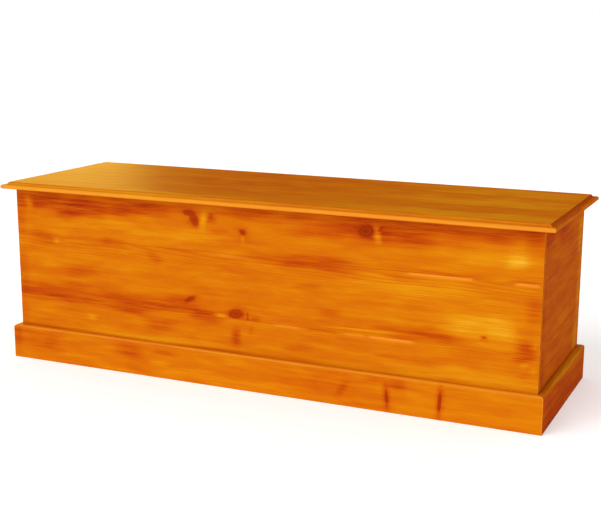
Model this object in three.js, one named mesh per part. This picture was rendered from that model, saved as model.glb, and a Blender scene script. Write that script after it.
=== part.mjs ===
// A pine coffin made like a long chest: four walls of edge-glued boards stand on a boarded base, a mitred
// plinth runs round the foot, and a boarded lid with a mitred moulding lifts off the top.
// Millimetres. +X runs along the coffin, +Y from its front to its back, +Z up.
// The origin is the middle of the underside, on the floor.
import * as THREE from "three";

// Body
const bodyLength = 1900; // outside, from end to end
const bodyWidth = 580; // outside, from front to back
const wallHeight = 603;
const wallThickness = 22;
const baseThickness = 18;

// Boards, as planed, and the glue line or bare contact between any two pieces
const boardWidth = 219;
const panelBoards = 3; // in each wall, the base and the lid; the last one is ripped to fit
const jointGap = 0.3;

// Lid
const lidThickness = 24;
const lidOverhang = 39; // from the body's outside to the nose of the moulding
const mouldingWidth = 22;
const noseHeight = 15; // the half-round at the outer edge
const coveRadius = 6.5; // the hollow that rises from the nose to the lid's boards
const lipWidth = 2; // the flat along the top of the hollow

// Plinth
const plinthHeight = 120;
const plinthThickness = 22;
const plinthRound = 9; // its outer top edge is rounded over

const arcSegments = 10;

// Levels and clear sizes that follow from the sizes above
const wallFoot = baseThickness + jointGap;
const wallTop = wallFoot + wallHeight;
const lidFoot = wallTop + jointGap;
const endSpan = bodyWidth - 2 * (wallThickness + jointGap); // an end wall stands between front and back
const lidLength = bodyLength + 2 * lidOverhang;
const lidWidth = bodyWidth + 2 * lidOverhang;
const fieldLength = lidLength - 2 * (mouldingWidth + jointGap); // the boards inside the moulding
const fieldWidth = lidWidth - 2 * (mouldingWidth + jointGap);

const stainedPine = { color: 0xcf7a1e, roughness: 0.5, metalness: 0 };
const plainPine = { color: 0xd9b478, roughness: 0.75, metalness: 0 };
const finish = (look) => new THREE.MeshStandardMaterial(look);

// Splits a panel's span into full boards, counted from its start, and a last one that takes the rest.
// Each entry has the middle and the width of one board, with the glue line left between neighbours.
function courses(span) {
  const edges = Array.from({ length: panelBoards }, (_, i) => i * boardWidth).concat(span);
  return edges.slice(1).map((end, i) => {
    const from = edges[i] + (i > 0 ? jointGap / 2 : 0);
    const to = end - (i < panelBoards - 1 ? jointGap / 2 : 0);
    return { middle: (from + to) / 2, width: to - from };
  });
}

function board(name, size, place, look) {
  const mesh = new THREE.Mesh(new THREE.BoxGeometry(...size), finish(look));
  mesh.name = name;
  mesh.position.set(...place);
  return mesh;
}

// A wall whose boards lie one above the other. It is made facing -Y, with its outer face on y = 0.
function wall(side, length) {
  const group = new THREE.Group();
  courses(wallHeight).forEach(({ middle, width }, i) => {
    const place = [0, wallThickness / 2, wallFoot + middle];
    group.add(board(`${side}_board_${i + 1}`, [length, wallThickness, width], place, stainedPine));
  });
  return group;
}

// A flat panel whose boards run the length of the coffin, side by side from the front to the back.
function panel(name, length, width, thickness, foot, look) {
  const group = new THREE.Group();
  courses(width).forEach((course, i) => {
    const place = [0, course.middle - width / 2, foot + thickness / 2];
    group.add(board(`${name}_${i + 1}`, [length, course.width, thickness], place, look));
  });
  return group;
}

// The plinth's section: x outwards from the wall, y up from the floor.
function plinthSection() {
  const section = new THREE.Shape();
  section.moveTo(0, 0);
  section.lineTo(plinthThickness, 0);
  section.lineTo(plinthThickness, plinthHeight - plinthRound);
  section.absarc(plinthThickness - plinthRound, plinthHeight - plinthRound, plinthRound, 0, Math.PI / 2);
  section.lineTo(0, plinthHeight);
  return section;
}

// The lid moulding's section: x outwards from the lid's boards, y up from the lid's underside.
// A half-round nose, a flat, and a hollow that rises to a narrow lip just under the face of the boards.
function mouldingSection() {
  const noseRadius = noseHeight / 2;
  const coveFoot = lipWidth + coveRadius;
  const section = new THREE.Shape();
  section.moveTo(0, 0);
  section.lineTo(mouldingWidth - noseRadius, 0);
  section.absarc(mouldingWidth - noseRadius, noseRadius, noseRadius, -Math.PI / 2, Math.PI / 2);
  section.lineTo(coveFoot, noseHeight);
  section.absarc(coveFoot, noseHeight + coveRadius, coveRadius, -Math.PI / 2, -Math.PI, true);
  section.lineTo(0, noseHeight + coveRadius);
  return section;
}

// A straight strip with the given section and 45-degree mitres at both ends. It runs along X with its
// inner face on y = 0 and faces -Y. innerLength is the length of the edge that it lies against.
function mitredStrip(name, section, innerLength) {
  const geometry = new THREE.ExtrudeGeometry(section, {
    depth: 1,
    bevelEnabled: false,
    curveSegments: arcSegments,
  });
  const position = geometry.getAttribute("position");
  for (let i = 0; i < position.count; i++) {
    const outwards = position.getX(i);
    const up = position.getY(i);
    const half = innerLength / 2 + outwards - jointGap * Math.SQRT1_2;
    position.setXYZ(i, position.getZ(i) > 0.5 ? -half : half, -outwards, up);
  }
  geometry.computeVertexNormals();
  const mesh = new THREE.Mesh(geometry, finish(stainedPine));
  mesh.name = name;
  return mesh;
}

// Sets four pieces round a rectangle of the given size. make(side, edgeLength) gives each one facing -Y,
// with y = 0 on its inner or outer reference face.
function around(length, width, foot, make) {
  const group = new THREE.Group();
  const sides = [
    { side: "front", edge: length, turn: 0, x: 0, y: -width / 2 },
    { side: "right", edge: width, turn: Math.PI / 2, x: length / 2, y: 0 },
    { side: "back", edge: length, turn: Math.PI, x: 0, y: width / 2 },
    { side: "left", edge: width, turn: -Math.PI / 2, x: -length / 2, y: 0 },
  ];
  for (const { side, edge, turn, x, y } of sides) {
    const piece = make(side, edge);
    piece.position.set(x, y, foot);
    piece.rotation.z = turn;
    group.add(piece);
  }
  return group;
}

const isLong = (side) => side === "front" || side === "back";

const walls = around(bodyLength, bodyWidth, 0, (side) => wall(side, isLong(side) ? bodyLength : endSpan));

const plinth = around(bodyLength + 2 * jointGap, bodyWidth + 2 * jointGap, 0, (side, edge) =>
  mitredStrip(`plinth_${side}`, plinthSection(), edge),
);

const base = panel("base_board", bodyLength, bodyWidth, baseThickness, 0, plainPine);

const lid = new THREE.Group();
lid.add(panel("lid_board", fieldLength, fieldWidth, lidThickness, lidFoot, stainedPine));
lid.add(
  around(fieldLength + 2 * jointGap, fieldWidth + 2 * jointGap, lidFoot, (side, edge) =>
    mitredStrip(`lid_moulding_${side}`, mouldingSection(), edge),
  ),
);

const coffin = new THREE.Group();
coffin.add(base, walls, plinth, lid);

export default coffin;
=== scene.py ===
# A pine coffin on its plinth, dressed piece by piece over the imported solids. Metres, in the solids' frame:
# +X along the coffin, +Y from its front to its back, +Z up, the origin in the middle of the underside.
import math
import bmesh
import bpy
import numpy as np
from mathutils import Matrix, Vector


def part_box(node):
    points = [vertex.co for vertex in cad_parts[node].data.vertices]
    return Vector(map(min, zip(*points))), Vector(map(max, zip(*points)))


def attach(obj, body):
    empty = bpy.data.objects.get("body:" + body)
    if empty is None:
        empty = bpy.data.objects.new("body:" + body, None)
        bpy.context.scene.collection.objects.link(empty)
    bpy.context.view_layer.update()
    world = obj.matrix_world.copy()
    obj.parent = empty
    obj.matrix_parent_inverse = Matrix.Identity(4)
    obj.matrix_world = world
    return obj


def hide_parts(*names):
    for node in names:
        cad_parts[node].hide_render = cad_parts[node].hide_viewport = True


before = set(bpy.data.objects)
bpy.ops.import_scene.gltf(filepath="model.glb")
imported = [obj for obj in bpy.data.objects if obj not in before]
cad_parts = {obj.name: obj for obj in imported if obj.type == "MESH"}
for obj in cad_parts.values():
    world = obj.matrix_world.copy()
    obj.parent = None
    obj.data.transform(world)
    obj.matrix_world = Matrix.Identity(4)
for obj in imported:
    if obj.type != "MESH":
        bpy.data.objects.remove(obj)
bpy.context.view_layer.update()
print("frame loaded:", len(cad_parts), "solids")

mm = 0.001
axisNumber = {"x": 0, "y": 1, "z": 2}

# How the boards are planed and how finely they are meshed
planing = {
    "lengthStep": 12 * mm,  # mesh lines along a board
    "widthStep": 5 * mm,  # and across its face
    "backLines": 8,  # and across its back
    "closeStep": 3 * mm,  # both of the steps round a knot
    "closeReach": 1.6,  # as far from its middle as its longer half size times this
    "arris": 1.6 * mm,  # rounding of an edge that stands free
    "gluedArris": 0.4 * mm,  # and of one that meets the next board
    "arrisSteps": 4,
    "guard": 1.2 * mm,  # a mesh line this far from each arris keeps the flat face flat in the light
    "crease": 40,  # degrees, above which an edge looks sharp
    "ripples": (1.3, 0.7, 0.45, 0.31),  # lengths in metres of the waves left by planing and drying
    "rippleSlant": 4,  # the most that a wave slants, in turns per metre across the board
    "wave": 0.15 * mm,  # depth of all the waves together
    "cup": 0.35 * mm,  # how far a board's long edges lie below its middle
    "knotProud": 0.25 * mm,  # how far a knot stands out of the shrunken wood round it
    "knotHump": 1.15,  # how far it does so, in half sizes of the knot
    "stripRipples": (9, 23),  # radians per metre of the waves in the plinth and the moulding
    "stripWave": 0.08 * mm,  # and their depth
}

# Where stain and wear lie on the pieces
staining = {
    "skin": 4 * mm,  # how far stain runs down a hidden edge, and in from a board's end
    "jointLine": 4.5 * mm,  # width of the pale or dark line along a joint; it fades over as much again
    "jointFade": 15 * mm,  # how gently such a line starts and stops along the joint
    "jointShade": 0.06,  # how dark any joint is at least
    # mitre corners are paler: wear, and painted highlight on the corner edge
    "mitreWearAndHighlight": 0.6,
}
# The waves in a patch's middle line: (share of its half width, radians a metre, start for each metre of its
# place)
wanderWaves = ((0.22, 19, 40), (0.14, 43, 90))

# What shows in the boards of the front, the right end and the lid. A spot is (place along the board, place
# across it, half length, half width, turn in degrees, strength), in metres in the frame. Knots are dark
# hearts, rust is red-brown resinous wood, and in a few spots painted shade, and gold is pale wood. pale and
# dark are stretches (from, to, strength) of the joint on the upper edge; the pale ones are rubbed wood and
# painted highlight.
seenGrain = {
    "front_board_3": {
        "knots": [
            (-0.241, 0.584, 0.027, 0.012, -5, 0.80),
            (-0.224, 0.564, 0.026, 0.016, -65, 0.80),
            (-0.161, 0.575, 0.008, 0.006, 0, 0.2),
            (-0.042, 0.534, 0.012, 0.010, -30, 0.75),
            (0.391, 0.574, 0.030, 0.021, 15, 0.86),
            (0.436, 0.583, 0.012, 0.005, 45, 0.6),
        ],
        "rust": [
            (-0.735, 0.580, 0.230, 0.040, 0, 0.66),
            (-0.695, 0.568, 0.055, 0.028, 0, 0.44),
            (-0.605, 0.575, 0.035, 0.024, 0, 0.24),
            (-0.515, 0.574, 0.040, 0.026, 0, 0.36),
            (-0.400, 0.590, 0.120, 0.022, 0, 0.55),
            (-0.161, 0.575, 0.020, 0.016, 0, 0.40),
            (-0.131, 0.525, 0.045, 0.010, 3, 0.30),
            (-0.020, 0.595, 0.120, 0.018, 0, 0.50),
            (0.160, 0.600, 0.060, 0.016, 0, 0.35),
            (0.420, 0.579, 0.230, 0.040, 0, 0.62),
            (0.580, 0.596, 0.050, 0.016, 0, 0.40),
            (0.760, 0.600, 0.190, 0.024, 0, 0.46),
            (0.635, 0.461, 0.120, 0.006, 0, 0.35),
            (0.905, 0.461, 0.050, 0.007, 0, 0.35),
            (0.925, 0.578, 0.034, 0.036, 0, 0.55),
            (-0.938, 0.520, 0.024, 0.090, 0, 0.24),
            (-0.840, 0.462, 0.060, 0.016, 0, 0.35),
            (-0.545, 0.462, 0.060, 0.008, 0, 0.30),
            (0.170, 0.463, 0.170, 0.014, 0, 0.42),
        ],
        "gold": [
            (-0.897, 0.572, 0.013, 0.024, 20, 0.44),
            (-0.190, 0.562, 0.013, 0.030, -15, 0.50),
            (-0.042, 0.508, 0.006, 0.014, 0, 0.35),
            (-0.560, 0.516, 0.240, 0.020, 0, 0.28),
            (-0.240, 0.505, 0.130, 0.022, 5, 0.30),
            (0.427, 0.566, 0.013, 0.028, 10, 0.52),
            (0.872, 0.526, 0.034, 0.026, 0, 0.66),
            (0.790, 0.530, 0.170, 0.036, 0, 0.24),
        ],
    },
    "front_board_2": {
        "knots": [
            (-0.244, 0.288, 0.023, 0.008, 27, 0.85),
            (-0.069, 0.256, 0.030, 0.018, 10, 0.82),
            (-0.026, 0.250, 0.004, 0.016, 0, 0.50),
            (0.778, 0.277, 0.008, 0.005, 0, 0.50),
        ],
        "rust": [
            (-0.600, 0.254, 0.360, 0.024, 0, 0.30),
            (-0.800, 0.260, 0.160, 0.030, 2, 0.44),
            (-0.380, 0.257, 0.165, 0.032, 0, 0.50),
            (-0.190, 0.249, 0.050, 0.014, 0, 0.50),
            (0.002, 0.246, 0.018, 0.010, 0, 0.40),
            (-0.690, 0.345, 0.080, 0.022, 4, 0.30),
            (-0.380, 0.420, 0.030, 0.014, -30, 0.35),
            (-0.840, 0.442, 0.060, 0.014, 0, 0.35),
            (-0.545, 0.450, 0.060, 0.008, 0, 0.30),
            (0.190, 0.447, 0.150, 0.014, 0, 0.45),
            (0.190, 0.375, 0.050, 0.010, 2, 0.35),
            (0.270, 0.300, 0.040, 0.016, 3, 0.25),
            (0.400, 0.252, 0.240, 0.009, 2, 0.40),
            (0.600, 0.258, 0.120, 0.024, 3, 0.36),
            (0.932, 0.365, 0.024, 0.045, 0, 0.34),
            (0.912, 0.250, 0.032, 0.026, 0, 0.62),
            (-0.938, 0.330, 0.026, 0.110, 0, 0.22),
        ],
        "gold": [
            (0.740, 0.310, 0.074, 0.040, 5, 0.54),
            (0.832, 0.302, 0.046, 0.042, 0, 0.58),
            (0.680, 0.297, 0.050, 0.014, 3, 0.35),
            (0.550, 0.405, 0.200, 0.030, 0, 0.32),
            (-0.784, 0.444, 0.012, 0.014, 0, 0.34),
            (-0.125, 0.241, 0.022, 0.005, 0, 0.60),
            (0.931, 0.266, 0.008, 0.009, 0, 0.45),
            (0.400, 0.252, 0.160, 0.005, 1, 0.40),
        ],
        "pale": [(-0.140, -0.020, 0.4), (0.525, 0.744, 1.0), (0.862, 0.950, 0.9)],
        "dark": [(0.100, 0.330, 0.4), (-0.600, -0.490, 0.5)],
    },
    "front_board_1": {
        "knots": [],
        "rust": [
            (-0.069, 0.188, 0.016, 0.032, 0, 0.58),
            (0.905, 0.226, 0.034, 0.012, 5, 0.50),
            (0.915, 0.172, 0.030, 0.008, 10, 0.30),
            (-0.014, 0.203, 0.008, 0.013, 0, 0.30),
            (-0.190, 0.228, 0.060, 0.013, 0, 0.50),
            (-0.640, 0.230, 0.310, 0.011, 0, 0.34),
            (-0.480, 0.222, 0.070, 0.014, 0, 0.35),
            (-0.355, 0.180, 0.065, 0.020, 5, 0.34),
            (0.150, 0.164, 0.050, 0.008, 0, 0.35),
            (0.530, 0.175, 0.100, 0.006, 0, 0.20),
            # these two are painted shade along the wall's foot, just above the plinth
            (-0.830, 0.124, 0.110, 0.005, 0, 0.70),
            (-0.150, 0.123, 0.140, 0.005, 0, 0.40),
            (-0.938, 0.180, 0.022, 0.060, 0, 0.15),
        ],
        "gold": [
            (-0.644, 0.181, 0.018, 0.010, 0, 0.50),
            (0.904, 0.206, 0.012, 0.007, 20, 0.35),
            (0.932, 0.186, 0.010, 0.012, -30, 0.30),
            (0.720, 0.146, 0.240, 0.026, 0, 0.34),
            (-0.400, 0.134, 0.320, 0.012, 0, 0.32),
        ],
        "pale": [(0.064, 0.165, 0.6), (0.317, 0.400, 0.5), (0.400, 0.560, 0.9)],
        "dark": [(-0.190, -0.100, 0.4), (0.185, 0.305, 0.9)],
    },
    "right_board_3": {
        "knots": [],
        # the first spot here is painted shade under the lid's overhang
        "rust": [(-0.130, 0.596, 0.260, 0.040, 0, 0.55), (0.080, 0.535, 0.150, 0.014, 0, 0.20)],
        "gold": [(0.250, 0.540, 0.040, 0.070, 0, 0.40)],
    },
    "right_board_2": {
        "knots": [],
        "rust": [(-0.262, 0.350, 0.034, 0.130, 0, 0.26), (-0.060, 0.360, 0.120, 0.020, 0, 0.15)],
        "gold": [(0.260, 0.330, 0.030, 0.120, 0, 0.35), (0.020, 0.290, 0.080, 0.016, 0, 0.20)],
    },
    "right_board_1": {
        "knots": [],
        "rust": [(-0.255, 0.180, 0.040, 0.060, 0, 0.30)],
        "gold": [(0.245, 0.190, 0.045, 0.060, 0, 0.40)],
    },
    "lid_board_1": {
        "knots": [],
        "rust": [(-0.250, -0.150, 0.300, 0.050, 0, 0.16)],
        "gold": [(0.650, -0.265, 0.420, 0.050, 0, 0.38), (-0.300, -0.285, 0.300, 0.024, 0, 0.28)],
    },
    "lid_board_2": {
        "knots": [],
        "rust": [(-0.150, 0.020, 0.400, 0.070, 0, 0.18)],
        "gold": [(0.700, -0.020, 0.280, 0.080, 0, 0.34)],
    },
    "lid_board_3": {
        "knots": [],
        "rust": [(-0.100, 0.210, 0.400, 0.060, 0, 0.18)],
        "gold": [(0.720, 0.200, 0.260, 0.070, 0, 0.30)],
    },
}


def ticks(low, high, step, closeUps=()):
    # even steps from low to high, with finer ones round each close-up (middle, reach)
    even = np.linspace(low, high, max(2, round((high - low) / step) + 1))
    fine = [np.arange(middle - reach, middle + reach, planing["closeStep"]) for middle, reach in closeUps]
    inside = np.unique(np.concatenate([even[1:-1], *fine]))
    gap = planing["closeStep"] / 2
    inside = inside[(inside > low + gap) & (inside < high - gap)]
    inside = inside[np.diff(inside, prepend=low) > gap]
    return np.concatenate([[low], inside, [high]])


def arc(middle, radius, start, end, count):
    # points middle + radius * (cos t, sin t), with t in even steps from start to end, in degrees
    turn = np.radians(np.linspace(start, end, count + 1))
    return np.stack([middle[0] + radius * np.cos(turn), middle[1] + radius * np.sin(turn)], 1)


def level(across, height):
    # points (across, height) that lie at one height
    return np.stack([across, np.full_like(across, height)], 1)


def upright(across, *heights):
    # points (across, height) that lie one above the other
    return np.array([(across, height) for height in heights])


def boardSection(width, thickness, arrises, closeUps):
    # A rectangle as points (across, out) once round, with a quarter circle at each corner: the show face
    # first, from its low edge to its high one, then the high edge, the back face and the low edge.
    w, t = width / 2, thickness / 2
    guard, skin, count = planing["guard"], staining["skin"], planing["arrisSteps"]
    faceLow, faceHigh, back = arrises
    return np.concatenate([
        level(ticks(-w + faceLow + guard, w - faceHigh - guard, planing["widthStep"], closeUps), t),
        arc((w - faceHigh, t - faceHigh), faceHigh, 90, 0, count),
        upright(w, t - skin, skin - t),
        arc((w - back, back - t), back, 0, -90, count),
        level(np.linspace(w - back - guard, back + guard - w, planing["backLines"]), -t),
        arc((back - w, back - t), back, -90, -180, count),
        upright(-w, skin - t, t - skin),
        arc((faceLow - w, t - faceLow), faceLow, 180, 90, count),
    ])


def carryBoard(section, width, thickness, length, endArris, closeUps):
    # The section carried along the length, as rings x points x (along, across, out). At each end the rings
    # shrink on a quarter circle: at an angle t one lies at half - r + r sin t and is r - r cos t smaller.
    # One more ring, inside the end face, keeps that face flat in the light.
    half = length / 2
    turn = np.radians(np.linspace(90, 0, planing["arrisSteps"] + 1))
    rounded = np.append(half, half - endArris + endArris * np.sin(turn))
    inside = half - endArris - planing["guard"]
    between = ticks(-inside, inside, planing["lengthStep"], closeUps)
    along = np.concatenate([-rounded, between, rounded[::-1]])
    shrink = np.append(endArris + planing["guard"], endArris * (1 - np.cos(turn)))
    shrink = np.concatenate([shrink, np.zeros(len(along) - 2 * len(shrink)), shrink[::-1]])
    across = section[None, :, 0] * (1 - shrink[:, None] / (width / 2))
    out = section[None, :, 1] * (1 - shrink[:, None] / (thickness / 2))
    return np.stack([np.broadcast_to(along[:, None], across.shape), across, out], -1)


def reachOf(along, across, spot):
    # distance from a spot's middle along and across it, both in its own half sizes
    place, height, halfLength, halfWidth, turn, _ = spot
    c, s = math.cos(math.radians(turn)), math.sin(math.radians(turn))
    u, v = along - place, across - height
    return (u * c + v * s) / halfLength, (v * c - u * s) / halfWidth


def relief(along, across, middle, width, knots, seed):
    # Depth below the highest knot: crossed sine waves, plus the square of the distance from the board's
    # middle line, less a flat-topped hump exp(-reach ** 4) over each knot.
    chance = np.random.default_rng(seed)
    lengths, most = planing["ripples"], planing["rippleSlant"]
    ripple = 0
    for length in lengths:
        slant, start = chance.uniform(-most, most), chance.uniform(0, 2 * math.pi)
        ripple = ripple + np.sin(2 * math.pi * (along / length + across * slant) + start) / len(lengths)
    depth = planing["wave"] * (1 + ripple) / 2 + planing["cup"] * ((across - middle) / (width / 2)) ** 2
    hump = np.zeros_like(along)
    for knot in knots:
        reach = np.hypot(*reachOf(along, across, knot)) / planing["knotHump"]
        hump = np.maximum(hump, np.exp(-(reach**4)))
    return depth + planing["knotProud"] * (1 - hump)


def patches(along, across, spots):
    # Each patch is strength * exp(-|u| ** 3 - |v| ** 3) of its reach (u, v). Its middle line wanders on sine
    # waves, and patches that overlap screen each other.
    clear = np.ones_like(along)
    for spot in spots:
        halfWidth, strength = spot[3], spot[5]
        wander = 0
        for place, (depth, rate, start) in zip(spot, wanderWaves):
            wander = wander + depth * np.sin(along * rate + place * start)
        u, v = reachOf(along, across + wander * halfWidth, spot)
        clear = clear * (1 - strength * np.exp(-np.abs(u) ** 3 - np.abs(v) ** 3))
    return 1 - clear


def stretches(along, spans):
    # strength between from and to, with a straight rise from nothing at both ends
    shown = np.zeros_like(along)
    for start, stop, strength in spans:
        inside = np.minimum(along - start, stop - along)
        shown = np.maximum(shown, strength * np.clip(inside / staining["jointFade"], 0, 1))
    return shown


def closedMesh(name, grid, marks):
    # Quads join each ring of the grid to the next, and one flat face closes each end. marks are numbers
    # kept on the points for the finish, as rings x points.
    rings, points = grid.shape[:2]
    index = np.arange(rings * points).reshape(rings, points)
    onward = np.roll(index, -1, axis=1)
    quads = np.stack([index[:-1], onward[:-1], onward[1:], index[1:]], -1).reshape(-1, 4)
    ends = [index[0].tolist(), index[-1][::-1].tolist()]
    mesh = bpy.data.meshes.new(name)
    mesh.from_pydata(grid.reshape(-1, 3), [], quads.tolist() + ends)
    for mark, values in marks.items():
        values = np.broadcast_to(values, (rings, points)).astype(np.float32)
        mesh.attributes.new(mark, "FLOAT", "POINT").data.foreach_set("value", values.ravel())
    shell = bmesh.new()
    shell.from_mesh(mesh)
    bmesh.ops.recalc_face_normals(shell, faces=shell.faces)
    shell.to_mesh(mesh)
    shell.free()
    mesh.shade_smooth()
    mesh.set_sharp_from_angle(angle=math.radians(planing["crease"]))
    return mesh


def standFor(name, mesh, material):
    # puts a mesh in the place of the solid of that name
    piece = bpy.data.objects.new(name + "_wood", mesh)
    bpy.context.scene.collection.objects.link(piece)
    mesh.materials.append(material)
    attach(piece, "root")
    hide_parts(name)


class Wire:
    # One socket of a shader tree. An expression on wires adds its Math nodes.
    def __init__(self, socket):
        self.socket = socket

    def math(self, operation, *values):
        ordered = dict(enumerate((self, *values)))
        return node(self.socket.id_data, "Math", {"operation": operation}, ordered)

    def __add__(self, other):
        return self.math("ADD", other)

    def __mul__(self, other):
        return self.math("MULTIPLY", other)

    def __sub__(self, other):
        return self.math("SUBTRACT", other)

    def __truediv__(self, other):
        return self.math("DIVIDE", other)

    def __pow__(self, other):
        return self.math("POWER", other)

    def __rsub__(self, other):
        return node(self.socket.id_data, "Math", {"operation": "SUBTRACT"}, {0: other, 1: self})

    def __rtruediv__(self, other):
        return node(self.socket.id_data, "Math", {"operation": "DIVIDE"}, {0: other, 1: self})

    __radd__ = __add__
    __rmul__ = __mul__

    def smooth(self, low, high):
        # 0 below low and 1 above high, with an S-shaped rise between them
        settings = {"interpolation_type": "SMOOTHSTEP"}
        values = {"Value": self, "From Min": low, "From Max": high}
        return node(self.socket.id_data, "MapRange", settings, values)


def node(tree, kind, settings, values, outlet=0):
    # a new shader node, with wires and plain numbers put into its sockets
    made = tree.nodes.new("ShaderNode" + kind)
    for key, value in settings.items():
        if key == "stops":
            fillRamp(made.color_ramp, value)
        else:
            setattr(made, key, value)
    for key, value in values.items():
        if isinstance(value, Wire):
            tree.links.new(value.socket, made.inputs[key])
        else:
            made.inputs[key].default_value = value
    return Wire(made.outputs[outlet]) if made.outputs else None


def fillRamp(ramp, stops):
    while len(ramp.elements) < len(stops):
        ramp.elements.new(1)
    for element, (place, colour) in zip(ramp.elements, stops):
        element.position = place
        element.color = colour


def linear(red, green, blue):
    # a screen colour, 0 to 255, as the linear one that a shader takes, by the sRGB curve
    parts = [part / 255 for part in (red, green, blue)]
    return (*[part / 12.92 if part <= 0.04045 else ((part + 0.055) / 1.055) ** 2.4 for part in parts], 1)


def mixColour(tree, factor, first, second):
    # a Mix node keeps its factor in socket 0 and its colours in 6 and 7, and gives the colour from outlet 2
    return node(tree, "Mix", {"data_type": "RGBA"}, {0: factor, 6: first, 7: second}, 2)


# The wood and its finish. Colours are screen colours under full light, from the palest wood to the darkest.
pine = {
    "ring": 4.2 * mm,  # width of a year's growth
    "lateWood": (0.35, 0.9),  # how far through a year its dark wood sets in
    "yearEnd": (0.93, 1.0),  # and how far through it breaks off
    "band": 24 * mm,  # width of the broad light and dark bands that follow the years
    "bandDrift": 0.35,  # how fast they change along the board
    "bendAcross": 20 * mm,  # how far noise bends the years across the board
    "bendBelow": 18 * mm,  # and away from its face
    "knotLift": 14 * mm,  # how far a knot lifts the years round it
    "stained": [(226, 174, 46), (217, 142, 11), (206, 115, 3), (195, 90, 2), (177, 62, 2), (130, 32, 2)],
    "bare": [
        (238, 214, 168), (230, 196, 140), (216, 172, 110), (196, 146, 84), (150, 98, 52), (104, 62, 32),
    ],
    "scuffed": (232, 138, 38),  # an edge rubbed through to the wood, also the colour of painted highlights
    "grainDepth": 0.25 * mm,
}
knotShape = {
    "ragged": 0.5,  # how far noise moves a knot's outline, in its half sizes
    "core": (0.60, 1.30),  # between these its dark heart fades out
    "near": 0.62,  # the smaller, the wider the darker wood round it
    "rings": 11,  # radians of its own years in each half size
}
# Where wood lies between the palest colour, 0, and the darkest, 1, and how much each thing moves it
shades = {
    "plain": 0.41,
    "rust": 0.79,
    "rustStreak": 0.4,  # further along the dark streaks
    "rustBare": 0.3,  # paler by this where the wood is bare
    "knot": 0.94,
    "knotNear": 0.20,  # the wood round a knot
    "knotRings": 0.04,
    "late": 0.14,  # the dark wood of each year
    "band": 0.16,
    "streak": 0.24,
    "blotch": 0.42,
    "fibre": 0.14,
    "end": 0.10,  # end grain
    "worn": 0.30,  # paler by this: wear, and painted highlight
    "pooled": 0.26,
}
# How much the grain breaks up the spots of rust and painted shade, gold and painted highlight, and rubbed
# wood and painted highlight
uneven = {
    "fibre": 0.9,
    "streak": 1.4,
    "late": 0.5,
    "lateMean": 0.3,  # taken off, so that a spot keeps its strength on the whole
    "scuffed": 1.1,  # its strength between the fibres
}
roughness = {"plain": 0.36, "late": 0.06, "streak": 0.16, "bare": 0.3, "end": 0.12}
varnish = {"weight": 0.05, "blotch": 0.04, "bare": 0.8, "roughness": 0.5}  # bare is the share missing there
grainHeight = {"late": 0.6, "fibre": 0.5, "streak": 0.4, "strength": 0.35}


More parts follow.
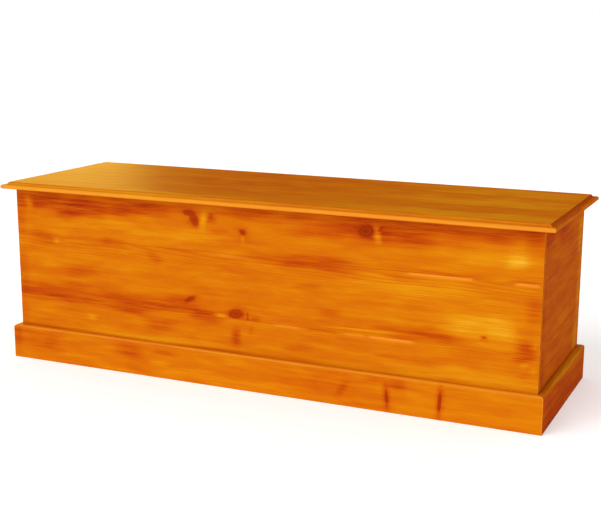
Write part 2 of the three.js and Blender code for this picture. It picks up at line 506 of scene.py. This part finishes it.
def pineFinish(name, directions, look, grain):
    # Years are cylinders round a pith line below the face. Noise bends them, a knot lifts them into loops,
    # and the shade comes from how far through its year a point lies, plus broader bands, streaks and spots.
    material = bpy.data.materials.new(name)
    material.use_nodes = True
    tree = material.node_tree
    tree.nodes.clear()
    place = node(tree, "TexCoord", {}, {}, "Object")
    split = node(tree, "SeparateXYZ", {}, {"Vector": place}).socket.node
    a, b, c = (Wire(split.outputs[axisNumber[axis]]) for axis in directions)
    seed = look["seed"]

    def vector(x, y, z):
        return node(tree, "CombineXYZ", {}, {0: x, 1: y, 2: z})

    def noiseAt(spot, layers, finer=0.55):
        # each layer of noise has finer times the strength of the one before
        values = {"Vector": spot, "Scale": 1.0, "Detail": layers, "Roughness": finer}
        return node(tree, "TexNoise", {}, values)

    def noise(longSize, shortSize, layers=2.0, shift=0.0):
        # Noise from about 0.25 to 0.75 whose grains are longSize long and shortSize wide. The seed gives
        # each piece its own, and shift sets one use apart from another.
        spot = vector(a / longSize + shift, b / shortSize + seed * 3.7, c / shortSize + seed * 1.3)
        return noiseAt(spot, layers)

    def sway(source, amount):
        # noise, whose mean is 0.5, as a change either way
        return (source - 0.5) * amount

    def mark(key):
        return node(tree, "Attribute", {"attribute_name": key}, {}, "Fac")

    def ramp(value, colours):
        last = len(colours) - 1
        stops = [(i / last, linear(*colour)) for i, colour in enumerate(colours)]
        return node(tree, "ValToRGB", {"stops": stops}, {"Fac": value})

    rust, gold, bare, end = (mark(key) for key in ("rust", "gold", "bare", "end"))
    # pooled darkens the joints, and is painted shade where the plinth meets the wall and the floor and where
    # the moulding meets the lid board
    worn, scuffed, pooled = (mark(key) for key in ("worn", "scuffed", "pooled"))
    knotNear = knotCore = knotRings = 0.0
    if grain["knots"]:
        ragged = sway(noise(9 * mm, 7 * mm, shift=2.0), knotShape["ragged"])
        flat = vector(a, b, 0.0)
        for placeAlong, height, halfLength, halfWidth, turn, strength in grain["knots"]:
            own = node(tree, "Mapping", {"vector_type": "TEXTURE"}, {
                "Vector": flat,
                "Location": (placeAlong, height, 0),
                "Rotation": (0, 0, math.radians(turn)),
                "Scale": (halfLength, halfWidth, 1),
            })
            reach = node(tree, "VectorMath", {"operation": "LENGTH"}, {0: own}, "Value") + ragged
            core = (1 - reach.smooth(*knotShape["core"])) * strength
            knotNear = (1 / (1 + (reach * knotShape["near"]) ** 4)).math("MAXIMUM", knotNear)
            darkest = core.math("MAXIMUM", knotCore)
            knotRings = (darkest - knotCore) * (reach * knotShape["rings"]).math("SINE") + knotRings
            knotCore = darkest

    pithAcross, pithBelow, pithSlope = look["pith"]
    bendAcross = sway(noise(1.1, 0.2), pine["bendAcross"])
    bendBelow = sway(noise(0.8, 0.14, shift=5.0), pine["bendBelow"])
    deep = c * look["outward"] + pithBelow + a * pithSlope + bendBelow
    wide = b - pithAcross + bendAcross
    radius = (deep * deep + wide * wide).math("SQRT") + knotNear * pine["knotLift"]
    year = radius / pine["ring"]
    through = year.math("FRACT")
    late = through.smooth(*pine["lateWood"]) * (1 - through.smooth(*pine["yearEnd"]))
    # no two years are equally dark: each has its own chance value from 0.4 to 1
    yearTone = node(tree, "TexWhiteNoise", {"noise_dimensions": "1D"}, {"W": year.math("FLOOR") + seed})
    late = late * (yearTone * 0.6 + 0.4)
    band = noiseAt(vector(radius / pine["band"], a * pine["bandDrift"] + seed, 0.0), 1.0, 0.5)
    streak = noise(180 * mm, 11 * mm, 3.0)
    fibre = noise(50 * mm, 0.9 * mm)
    blotch = noise(130 * mm, 26 * mm, 4.0, shift=9.0)

    # dark spots deepen and pale ones thin out along the darker fibres
    mottle = sway(fibre, uneven["fibre"]) + sway(streak, uneven["streak"])
    mottle = mottle + (late - uneven["lateMean"]) * uneven["late"]
    rust = rust * (1 + mottle)
    gold = gold * (1 - mottle)
    shade = shades["plain"] + look["tone"] + late * shades["late"] + sway(band, shades["band"])
    cloud = sway(streak, shades["streak"]) + sway(blotch, shades["blotch"])
    shade = shade + sway(fibre, shades["fibre"]) + cloud + knotNear * shades["knotNear"]
    shade = shade + rust * (streak * shades["rustStreak"] + shades["rust"] - shade)
    # worn pales worn edges, and paints the highlights on the plinth's rounding, the moulding's nose and lit
    # corners
    shade = shade + end * shades["end"] - worn * shades["worn"] + pooled * shades["pooled"] - gold * shade
    shade = shade + knotCore * (shades["knot"] - shade) + knotRings * shades["knotRings"]
    stained = ramp(shade, pine["stained"])
    colour = mixColour(tree, bare, stained, ramp(shade - rust * shades["rustBare"], pine["bare"]))
    # scuffed mixes in rubbed wood, which along the joints, the nose and the plinth's rounding is painted
    # highlight
    colour = mixColour(tree, scuffed * (uneven["scuffed"] - mottle), colour, linear(*pine["scuffed"]))

    rough = roughness["plain"] + late * roughness["late"] + sway(streak, roughness["streak"])
    rough = rough + bare * roughness["bare"] + end * roughness["end"]
    coat = (varnish["weight"] + sway(blotch, varnish["blotch"])) * (1 - bare * varnish["bare"])
    height = late * grainHeight["late"] + fibre * grainHeight["fibre"] + streak * grainHeight["streak"]
    bump = node(tree, "Bump", {}, {
        "Strength": grainHeight["strength"],
        "Distance": pine["grainDepth"],
        "Height": height,
    })
    surface = node(tree, "BsdfPrincipled", {}, {
        "Base Color": colour,
        "Roughness": rough,
        "Normal": bump,
        "Specular IOR Level": 0.0,
        "Coat Weight": coat,
        "Coat Roughness": varnish["roughness"],
    })
    node(tree, "OutputMaterial", {}, {"Surface": surface})
    return material


def growth(seed, low, high, knotCount):
    # Chance spots for a board that isn't seen, within its box of (along, across). The ranges of half length
    # and half width are shares of the board, except for knots, whose sizes are drawn after all their places.
    chance = np.random.default_rng(seed)
    span, rise = high[0] - low[0], high[1] - low[1]

    def spot(halfLength, halfWidth, turn, strength):
        return (
            low[0] + span * chance.uniform(0.04, 0.96),
            low[1] + rise * chance.uniform(0.1, 0.9),
            span * chance.uniform(*halfLength),
            rise * chance.uniform(*halfWidth),
            chance.uniform(-turn, turn),
            chance.uniform(*strength),
        )

    places = [spot((0, 0), (0, 0), turn=35, strength=(0.6, 0.9)) for _ in range(knotCount)]
    knots = []
    for along, across, _, _, turn, strength in places:
        halfLength, halfWidth = chance.uniform(6, 15) * mm, chance.uniform(5, 12) * mm
        knots.append((along, across, halfLength, halfWidth, turn, strength))
    rust = [spot((0.1, 0.3), (0.06, 0.18), turn=1, strength=(0.15, 0.4)) for _ in range(4)]
    gold = [spot((0.04, 0.2), (0.08, 0.2), turn=1, strength=(0.15, 0.4)) for _ in range(3)]
    return {"knots": knots, "rust": rust, "gold": gold}


def boardPiece(name, along, across, out, outward, look):
    # One board, made in its own directions and put where its solid lies
    low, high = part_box(name)
    axes = [axisNumber[axis] for axis in (along, across, out)]
    middle = [(low[axis] + high[axis]) / 2 for axis in axes]
    length, width, thickness = [high[axis] - low[axis] for axis in axes]
    grain = look.get("grain") or growth(
        look["seed"], [low[axis] for axis in axes[:2]], [high[axis] for axis in axes[:2]], look["knotCount"]
    )
    near = [(*knot[:2], planing["closeReach"] * max(knot[2:4])) for knot in grain["knots"]]
    closeAcross = [(height - middle[1], size) for _, height, size in near]
    closeAlong = [(place - middle[0], size) for place, _, size in near]
    section = boardSection(width, thickness, look["arrises"], closeAcross)
    grid = carryBoard(section, width, thickness, length, look["endArris"], closeAlong)
    a, b, c = middle[0] + grid[..., 0], middle[1] + grid[..., 1], grid[..., 2]
    top, skin = thickness / 2, staining["skin"]
    onFace = np.clip((c - top + skin) / skin, 0, 1)
    c = c - relief(a, b, middle[1], width, grain["knots"], look["seed"]) * onFace
    fromEnd = length / 2 - np.abs(grid[..., 0])
    atEnd = fromEnd < look["endArris"] * 0.1  # the end face, whose points lie right at the end
    onEndArris = (fromEnd < look["endArris"]) & ~atEnd
    stainStops = (section[:, 1] < top - 1.2 * skin) & (fromEnd > skin)  # past the mesh line at skin
    upperEdge = np.clip((grid[..., 1] - width / 2) / staining["jointLine"] + 2, 0, 1) * ~atEnd
    lowerEdge = np.clip((-grid[..., 1] - width / 2) / staining["jointLine"] + 2, 0, 1) * ~atEnd
    pale, dark = (stretches(a, grain.get(key, ())) for key in ("pale", "dark"))
    least = staining["jointShade"]
    marks = {
        "rust": patches(a, b, grain["rust"]) * ~atEnd,
        "gold": patches(a, b, grain["gold"]) * ~atEnd,
        "bare": np.where(stainStops, 1.0, look.get("raw", 0.0)),
        "end": np.where(atEnd, 1.0, 0.0),
        # the end arrises are paler: wear, and painted highlight on the lit corner edge
        "worn": onEndArris * look["endWearAndHighlight"],
        "scuffed": pale * upperEdge,
        "pooled": np.maximum(dark, least) * upperEdge + least * lowerEdge,
    }
    points = np.empty_like(grid)
    for axis, values in zip(axes, (a, b, middle[2] + outward * c)):
        points[..., axis] = values
    acrossOffset, below, slope = look["pith"]
    face = middle[2] + outward * top
    pith = (middle[1] + acrossOffset, below - face * outward, slope)
    finishLook = {**look, "pith": pith, "outward": outward}
    material = pineFinish(name + "_finish", (along, across, out), finishLook, grain)
    standFor(name, closedMesh(name + "_wood", points, marks), material)


free, glued = planing["arris"], planing["gluedArris"]

# Walls. pith is, for each board, how far the pith lies above the board's middle and behind its face, and how
# much it comes forward in each metre. knots is how many each board has where seenGrain doesn't place them.
walls = {
    "front": {
        "along": "x", "out": "y", "outward": -1, "tone": 0.015,
        "pith": ((0.16, 0.10, 0.010), (0.13, 0.12, -0.012), (-0.15, 0.11, 0.008)),
    },
    "back": {
        "along": "x", "out": "y", "outward": 1, "tone": 0.02, "knots": 3,
        "pith": ((-0.12, 0.10, 0.02), (0.02, 0.07, -0.03), (0.15, 0.10, 0.01)),
    },
    "left": {
        "along": "y", "out": "x", "outward": -1, "tone": 0.12, "knots": 1,
        "pith": ((0.14, 0.10, 0.02), (-0.15, 0.12, -0.03), (0.05, 0.08, 0.03)),
    },
    # the end boards are a redder wood; the right end's higher tone is also painted shade of that side
    "right": {
        "along": "y", "out": "x", "outward": 1, "tone": 0.18,
        "pith": ((-0.14, 0.10, 0.02), (0.16, 0.11, 0.03), (-0.13, 0.09, -0.02)),
    },
}
for order, (side, wall) in enumerate(walls.items()):
    for number in (1, 2, 3):
        name = f"{side}_board_{number}"
        boardPiece(name, wall["along"], "z", wall["out"], wall["outward"], {
            "grain": seenGrain.get(name),
            "seed": 10 * order + number,
            "knotCount": wall.get("knots"),
            "arrises": (glued, glued, glued),
            "endArris": free if wall["along"] == "x" else glued,
            "endWearAndHighlight": 0.7 if wall["along"] == "x" else 0.0,
            "pith": wall["pith"][number - 1],
            "tone": wall["tone"],
        })
print("walls made")

lid = {"tone": 0.02, "pith": ((0.15, 0.10, 0.02), (0.02, 0.09, -0.02), (-0.14, 0.11, 0.015))}
base = {"tone": 0.0, "pith": ((0.05, 0.09, 0.03), (0.12, 0.08, -0.02), (-0.08, 0.10, 0.02))}
for number in (1, 2, 3):
    boardPiece(f"lid_board_{number}", "x", "y", "z", 1, {
        "grain": seenGrain[f"lid_board_{number}"],
        "seed": 60 + number,
        "arrises": (free if number == 1 else glued, free if number == 3 else glued, glued),
        "endArris": free,
        "endWearAndHighlight": 0.5,
        "pith": lid["pith"][number - 1],
        "tone": lid["tone"],
    })
    boardPiece(f"base_board_{number}", "x", "y", "z", -1, {
        "seed": 70 + number,
        "knotCount": 3,
        "arrises": (glued, glued, glued),
        "endArris": glued,
        "endWearAndHighlight": 0.0,
        "pith": base["pith"][number - 1],
        "tone": base["tone"],
        "raw": 1.0,
    })
print("lid and base made")


# Strips that go round the coffin, mitred at their ends. stripPith is how far the pith lies above the strip's
# foot and behind its inner face, and how much it comes forward in each metre.
stripPith = (-0.11, 0.10, 0.012)
plinth = {
    "round": 9 * mm,  # radius of the outer top edge
    "foot": 1 * mm,  # and of the outer bottom edge
    "paintedShade": (4 * mm, 2 * mm),  # painted shade along the wall rises between these distances from it
}
moulding = {
    "nose": 15 * mm,  # height of the half-round at the outer edge
    "cove": 6.5 * mm,  # radius of the hollow above it
    "lip": 2 * mm,  # the flat along the top of the hollow
}


def joined(lines):
    # lines of points, each with how pale it is, by wear and painted highlight, and how much painted shade it
    # has, as one closed section
    points = np.concatenate([line for line, _, _ in lines])
    worn = np.concatenate([np.full(len(line), wornAndLit) for line, wornAndLit, _ in lines])
    dark = np.concatenate([np.full(len(line), paintedShade) for line, _, paintedShade in lines])
    return points, worn, dark


def plinthSection(thickness, height):
    # points (outwards, up) once round, from the inner bottom corner
    r, foot = plinth["round"], plinth["foot"]
    shadeStart, shadeFull = plinth["paintedShade"]
    middle = (thickness - r, height - r)
    face = ticks(foot + planing["guard"], height - r - planing["guard"], planing["widthStep"])
    return joined([
        (upright(0, 0), 0, 0),
        # painted shade along the foot, where the plinth meets the floor
        (arc((thickness - foot, foot), foot, -90, 0, 3), 0, 0.8),
        (level(face, thickness)[:, ::-1], 0, 0),
        # the upper part of the rounding is paler: wear, and painted highlight where it faces the light
        (arc(middle, r, 0, 30, 4), 0.05, 0),
        (arc(middle, r, 37.5, 90, 7), 0.62, 0),
        # painted shade in the line where the plinth's top meets the wall
        (upright(shadeStart, height), 0.2, 0),
        (upright(shadeFull, height), 0, 0.5),
        (upright(0, height), 0, 0.7),
    ])


def mouldingSection(width, _):
    # the same for the moulding, whose height is its nose's and its hollow's
    nose, cove, lip = moulding["nose"] / 2, moulding["cove"], moulding["lip"]
    middle = (width - nose, nose)
    return joined([
        (upright(0, 0), 0, 0),
        # the nose is paler over its front: wear, and painted highlight where it faces the light
        (arc(middle, nose, -90, -50, 4), 0.2, 0),
        (arc(middle, nose, -40, 50, 9), 0.8, 0),
        (arc(middle, nose, 60, 90, 3), 0.4, 0),
        (upright(lip + cove, 2 * nose), 0.1, 0),
        (arc((lip + cove, 2 * nose + cove), cove, -90, -180, 8)[1:], 0.15, 0),
        # painted shade where the moulding meets the lid board
        (upright(0, 2 * nose + cove), 0, 0.2),
    ])


def stripPiece(name, side, sectionOf, look):
    # The section carried along one side. A point that lies s times the way from the middle to the mitre is
    # at s * (outer half length - what the section still lacks to its full width).
    low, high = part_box(name)
    along, out = ("x", "y") if side in ("front", "back") else ("y", "x")
    outward = 1 if side in ("back", "right") else -1
    alongAxis, outAxis = axisNumber[along], axisNumber[out]
    width, height = high[outAxis] - low[outAxis], high.z - low.z
    section, worn, dark = sectionOf(width, height)
    inner = low[outAxis] if outward > 0 else high[outAxis]
    half = (high[alongAxis] - low[alongAxis]) / 2
    closeStep = planing["closeStep"]
    mitres = [(-half, 2 * closeStep), (half, 2 * closeStep)]
    share = ticks(-half, half, planing["lengthStep"], mitres)[:, None] / half
    corner = np.clip((np.abs(share) - 1) * half / closeStep + 1, 0, 1)
    worn = np.maximum(worn[None, :], staining["mitreWearAndHighlight"] * corner)
    a = share * (half - width + section[None, :, 0])
    outwards = np.broadcast_to(section[None, :, 0], a.shape)
    up = np.broadcast_to(section[None, :, 1], a.shape)
    slow, quick = planing["stripRipples"]
    ripple = np.sin(a * slow + look["seed"]) * 0.5 + np.sin(a * quick + look["seed"] * 2.0) * 0.5
    outwards = outwards * (1 - (1 + ripple) * planing["stripWave"] / width)
    points = np.empty((*a.shape, 3))
    points[..., alongAxis] = a
    points[..., outAxis] = inner + outward * outwards
    points[..., 2] = low.z + up
    grain = {"knots": (), "rust": (), "gold": (), **look["grain"]}
    marks = {
        "rust": patches(a, low.z + up, grain["rust"]),
        "gold": patches(a, low.z + up, grain["gold"]),
        "bare": np.zeros_like(a),
        "end": np.zeros_like(a),
        "worn": worn,
        "scuffed": worn * look["rubAndHighlight"],
        "pooled": dark[None, :],
    }
    above, behind, slope = stripPith
    finishLook = {**look, "pith": (low.z + above, behind - inner * outward, slope), "outward": outward}
    material = pineFinish(name + "_finish", (along, "z", out), finishLook, grain)
    standFor(name, closedMesh(name + "_wood", points, marks), material)


stripGrain = {
    "plinth_front": {
        "knots": [(0.476, 0.052, 0.005, 0.024, 5, 0.7), (0.651, 0.060, 0.006, 0.034, -3, 0.8)],
        "rust": [
            (0.476, 0.060, 0.010, 0.050, 5, 0.35),
            (0.651, 0.060, 0.009, 0.055, -3, 0.30),
            (0.512, 0.088, 0.030, 0.022, 0, 0.50),
            (-0.807, 0.078, 0.030, 0.018, 0, 0.28),
            (-0.480, 0.085, 0.050, 0.034, 0, 0.34),
            (0.325, 0.066, 0.010, 0.040, -28, 0.35),
            (0.435, 0.106, 0.034, 0.010, 0, 0.40),
            (0.280, 0.060, 0.160, 0.050, 0, 0.20),
            (-0.340, 0.088, 0.050, 0.010, 0, 0.35),
            (-0.955, 0.080, 0.018, 0.034, 0, 0.35),
            (-0.870, 0.070, 0.110, 0.055, 0, 0.22),
        ],
        "gold": [(-0.080, 0.020, 0.250, 0.016, 0, 0.25), (-0.360, 0.052, 0.040, 0.012, 0, 0.30)],
    },
    "plinth_right": {
        # darker at its foot near the front
        "rust": [(-0.160, 0.020, 0.160, 0.045, 0, 0.35)],
        # the pale spots along its top are painted highlight on the rounding
        "gold": [(0.040, 0.118, 0.300, 0.010, 0, 0.38), (0.180, 0.100, 0.110, 0.024, 0, 0.16)],
    },
    # the nose is paler towards its left end
    "lid_moulding_front": {"gold": [(-0.700, 0.630, 0.500, 0.060, 0, 0.20)]},
}
# On each side: how much darker the plinth and the moulding are, which on the right end is redder wood and
# painted shade, and how far their worn edges are rubbed through to the wood, which on the front is also
# painted highlight
stripLook = {
    "front": {"plinth": 0.0, "lid_moulding": 0.0, "rubAndHighlight": 0.8},
    "right": {"plinth": 0.27, "lid_moulding": 0.32, "rubAndHighlight": 0.1},
    "back": {"plinth": 0.02, "lid_moulding": 0.02, "rubAndHighlight": 0.5},
    "left": {"plinth": 0.14, "lid_moulding": 0.1, "rubAndHighlight": 0.4},
}
sections = {"plinth": plinthSection, "lid_moulding": mouldingSection}
for order, (side, strip) in enumerate(stripLook.items()):
    for start, section in sections.items():
        name = f"{start}_{side}"
        stripPiece(name, side, section, {
            "seed": 80 + 2 * order + len(start),
            "tone": strip[start],
            "rubAndHighlight": strip["rubAndHighlight"],
            "grain": stripGrain.get(name, {}),
        })
print("plinth and mouldings made")


# Floor, light and camera. Angles are in degrees, and azimuth 0 looks at the coffin's front.
studio = {
    "floorSize": 400,
    "floorShade": 0.9,
    "floorGlow": 0.36,  # just enough to make it white all the way to the horizon
    "floorDrop": 0.2 * mm,  # how far it lies below the coffin, so that the two never flicker
    "sky": [(0.0, 1.0), (0.06, 1.0), (0.22, 0.45), (1.0, 0.6)],  # brightness by the sine of the height
    "key": {"azimuth": -30, "elevation": 32, "spread": 45, "strength": 1.71},
    "sheen": {  # seen only as a reflection in the left of the lid
        "spot": (-2.36, 1.89, 1.2),
        "aim": (-0.82, -0.08, 0.645),
        "size": (0.9, 0.8),
        "power": 200,
        "colour": (1.0, 0.80, 0.12),
    },
}
# as solved from the edges in the photo
camera = {
    "spot": (1.6738, -3.6076, 1.2492),
    "azimuth": 24.435,
    "elevation": 12.348,
    "roll": 0.185,
    "focalPixels": 1160.9,
    "imageWidth": 601,
    "sensor": 36,
}


def backward(azimuth, elevation):
    # unit vector (sin a cos e, -cos a cos e, sin e) from the coffin towards whatever looks at it
    a, e = math.radians(azimuth), math.radians(elevation)
    return np.array([math.sin(a) * math.cos(e), -math.cos(a) * math.cos(e), math.sin(e)])


def makeFloor():
    half = studio["floorSize"] / 2
    corners = [(-half, -half, 0), (half, -half, 0), (half, half, 0), (-half, half, 0)]
    mesh = bpy.data.meshes.new("floor")
    mesh.from_pydata(corners, [], [(0, 1, 2, 3)])
    material = bpy.data.materials.new("floor_paper")
    material.use_nodes = True
    tree = material.node_tree
    tree.nodes.clear()
    shade = studio["floorShade"]
    surface = node(tree, "BsdfPrincipled", {}, {
        "Base Color": (shade, shade, shade, 1),
        "Roughness": 0.9,
        "Specular IOR Level": 0.1,
        "Emission Color": (1, 1, 1, 1),
        "Emission Strength": studio["floorGlow"],
    })
    node(tree, "OutputMaterial", {}, {"Surface": surface})
    mesh.materials.append(material)
    floor = bpy.data.objects.new("floor", mesh)
    floor.location.z = -studio["floorDrop"]
    bpy.context.scene.collection.objects.link(floor)


def addLamp(name, data, spot, toward, glossOnly=False):
    # A lamp shines along its own -Z. It is tipped about X by the angle of toward from straight down, and
    # then turned about Z.
    x, y, z = toward
    lamp = bpy.data.objects.new(name, data)
    lamp.location = spot
    lamp.rotation_euler = (math.atan2(math.hypot(x, y), -z), 0, math.atan2(-x, y))
    lamp.visible_camera = False
    lamp.visible_diffuse = not glossOnly
    bpy.context.scene.collection.objects.link(lamp)


def makeLights():
    key, sheen = studio["key"], studio["sheen"]
    sun = bpy.data.lights.new("key", "SUN")
    sun.angle = math.radians(key["spread"])
    sun.energy = key["strength"]
    toKey = backward(key["azimuth"], key["elevation"])
    addLamp("key", sun, toKey, -toKey)
    panel = bpy.data.lights.new("sheen", "AREA")
    panel.shape = "RECTANGLE"
    panel.size, panel.size_y = sheen["size"]
    panel.energy = sheen["power"]
    panel.color = sheen["colour"]
    toward = np.array(sheen["aim"]) - np.array(sheen["spot"])
    addLamp("sheen", panel, sheen["spot"], toward, glossOnly=True)


def makeSky():
    # as pale as the floor at the horizon, and darker overhead
    world = bpy.data.worlds.new("studio")
    world.use_nodes = True
    tree = world.node_tree
    tree.nodes.clear()
    direction = node(tree, "TexCoord", {}, {}, "Generated")
    split = node(tree, "SeparateXYZ", {}, {"Vector": direction}).socket.node
    stops = [(height, (shade, shade, shade, 1)) for height, shade in studio["sky"]]
    shade = node(tree, "ValToRGB", {"stops": stops}, {"Fac": Wire(split.outputs["Z"])})
    node(tree, "OutputWorld", {}, {"Surface": node(tree, "Background", {}, {"Color": shade})})
    bpy.context.scene.world = world


def makeCamera():
    # the columns of its matrix are its right, its up, the way back from what it sees, and its place
    back = backward(camera["azimuth"], camera["elevation"])
    a, roll = math.radians(camera["azimuth"]), math.radians(camera["roll"])
    sideways = np.array([math.cos(a), math.sin(a), 0])
    up = np.cross(back, sideways)
    right = sideways * math.cos(roll) + up * math.sin(roll)
    up = up * math.cos(roll) - sideways * math.sin(roll)
    data = bpy.data.cameras.new("camera")
    data.sensor_width = camera["sensor"]
    data.lens = camera["focalPixels"] * camera["sensor"] / camera["imageWidth"]
    seen = bpy.data.objects.new("camera", data)
    matrix = np.eye(4)
    matrix[:3, 0], matrix[:3, 1], matrix[:3, 2], matrix[:3, 3] = right, up, back, camera["spot"]
    seen.matrix_world = Matrix(matrix.tolist())
    bpy.context.scene.collection.objects.link(seen)
    bpy.context.scene.camera = seen


makeFloor()
makeLights()
makeSky()
makeCamera()
bpy.context.scene.view_settings.view_transform = "Standard"
print("studio made")
